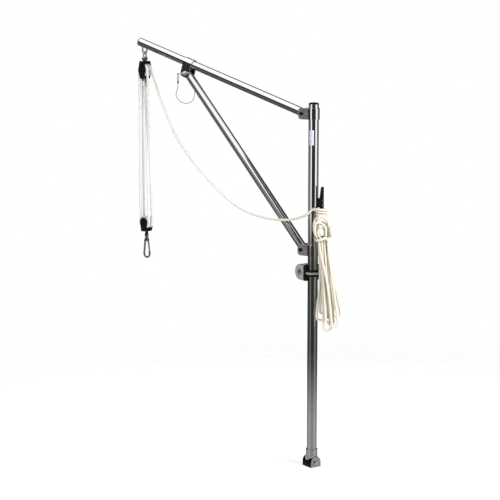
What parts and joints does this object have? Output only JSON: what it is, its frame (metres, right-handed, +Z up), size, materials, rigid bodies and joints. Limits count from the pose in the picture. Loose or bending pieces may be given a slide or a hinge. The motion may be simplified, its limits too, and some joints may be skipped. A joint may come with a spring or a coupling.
{
  "type": "cargo boom",
  "caption": "Stainless boat cargo boom: a turning mast on a deck foot and rail clamp, a strutted arm, a rope tackle with a snap hook at the tip, and a cleat for the hauling line.",
  "frame": {"origin": "on the mast's axis at the underside of the deck foot", "axes": "+Z up along the mast, +X over the boom, +Y to the side that the bolt heads are on"},
  "size_m": [0.9631, 0.1075, 1.5958],
  "materials": {
    "stainless": "mirror polished",
    "steel": "polished",
    "black_plastic": "moulded",
    "grey_plastic": "moulded",
    "white_plastic": "turned",
    "rope": "braided"
  },
  "bodies": {
    "deck_mount": {"foot_block": "stainless", "foot_socket": "stainless", "foot_bolt": "steel", "foot_nut": "steel", "thrust_pad": "white_plastic", "clamp_upper": "grey_plastic", "clamp_lower": "grey_plastic", "clamp_screws": "steel", "clamp_bush": "black_plastic"},
    "mast": {"mast_tube": "stainless", "mast_cap": "black_plastic", "boom_bracket": "stainless", "strut_bracket": "stainless", "pivot_bolts": "steel", "pivot_nuts": "steel", "pivot_washers": "white_plastic", "boom_tube": "stainless", "boom_tip_plug": "black_plastic", "boom_saddle": "stainless", "strut_tube": "stainless", "tip_eye": "stainless", "cleat": "black_plastic", "cleat_screws": "steel", "hauling_line": "rope", "cleat_turns": "rope", "rope_hank": "rope", "pin_lanyard": "steel", "lanyard_anchor": "steel"},
    "release_pin": {"pin_shank": "steel", "pin_ring": "steel", "pin_balls": "steel", "lanyard_ferrule": "steel"},
    "shackle": {"shackle_bow": "stainless", "shackle_pin": "steel"},
    "upper_block": {"upper_near_cheek": "black_plastic", "upper_far_cheek": "black_plastic", "upper_lug_plate": "stainless", "upper_axle": "steel", "upper_tie_pin": "steel", "upper_spacers": "black_plastic", "becket_splice": "rope", "becket_fall": "rope", "tackle_falls": "rope", "upper_rope_turns": "rope"},
    "upper_near_wheel": {"upper_sheave_near": "white_plastic"},
    "upper_far_wheel": {"upper_sheave_far": "white_plastic"},
    "lower_block": {"lower_near_cheek": "black_plastic", "lower_far_cheek": "black_plastic", "lower_centre_plate": "stainless", "lower_axle": "steel", "lower_crosshead": "black_plastic", "lower_tie_pins": "steel", "lower_rope_turns": "rope"},
    "lower_near_wheel": {"lower_sheave_near": "white_plastic"},
    "lower_far_wheel": {"lower_sheave_far": "white_plastic"},
    "swivel": {"swivel_eye": "steel"},
    "snap_hook": {"hook_body": "steel", "gate_pin": "steel"},
    "gate": {"hook_gate": "steel"}
  },
  "joints": [
    {"name": "mast_slew", "type": "hinge", "parent": "deck_mount", "child": "mast", "pos_m": [0, 0, 0.034], "axis": [0, 0, 1], "range_deg": [-80, 55]},
    {"name": "pin_pull", "type": "slide", "parent": "mast", "child": "release_pin", "axis": [0, 1, 0], "range_m": [0, 0.07], "deforming": ["pin_lanyard"]},
    {"name": "shackle_swing", "type": "hinge", "parent": "mast", "child": "shackle", "pos_m": [0.81712, 0, 1.53442], "axis": [1, 0, 0], "range_deg": [-20, 20], "deforming": ["hauling_line"]},
    {"name": "block_swing", "type": "hinge", "parent": "shackle", "child": "upper_block", "pos_m": [0.81712, 0, 1.51442], "axis": [0, 1, 0], "range_deg": [-12, 12], "deforming": ["hauling_line"]},
    {"name": "hoist", "type": "slide", "parent": "upper_block", "child": "lower_block", "axis": [0, 0, 1], "range_m": [-0.65, 0.42], "deforming": ["tackle_falls", "becket_fall"]},
    {"name": "lower_near_spin", "type": "hinge", "parent": "lower_block", "child": "lower_near_wheel", "pos_m": [0.81712, 0.00985, 0.864], "axis": [0, 1, 0], "continuous": true},
    {"name": "upper_near_spin", "type": "hinge", "parent": "upper_block", "child": "upper_near_wheel", "pos_m": [0.81712, 0.00985, 1.46942], "axis": [0, 1, 0], "continuous": true},
    {"name": "lower_far_spin", "type": "hinge", "parent": "lower_block", "child": "lower_far_wheel", "pos_m": [0.81712, -0.00985, 0.864], "axis": [0, 1, 0], "continuous": true},
    {"name": "upper_far_spin", "type": "hinge", "parent": "upper_block", "child": "upper_far_wheel", "pos_m": [0.81712, -0.00985, 1.46942], "axis": [0, 1, 0], "continuous": true},
    {"name": "hook_swivel", "type": "hinge", "parent": "lower_block", "child": "swivel", "pos_m": [0.81712, 0, 0.8315], "axis": [0, 0, 1], "continuous": true},
    {"name": "hook_swing", "type": "hinge", "parent": "swivel", "child": "snap_hook", "pos_m": [0.81712, 0, 0.8091], "axis": [0, 1, 0], "range_deg": [-40, 40]},
    {"name": "gate_open", "type": "hinge", "parent": "snap_hook", "child": "gate", "pos_m": [0.80962, 0, 0.7919], "axis": [0, 1, 0], "range_deg": [-22, 0], "stiffness_Nm_per_rad": 0.05, "springref_deg": 20.05}
  ],
  "couplings": [
    {"joint": "lower_near_spin", "follows": "hoist", "rad_per_m": -46.512},
    {"joint": "upper_near_spin", "follows": "hoist", "rad_per_m": -93.023},
    {"joint": "lower_far_spin", "follows": "hoist", "rad_per_m": -139.53},
    {"joint": "upper_far_spin", "follows": "hoist", "rad_per_m": -186.05}
  ]
}
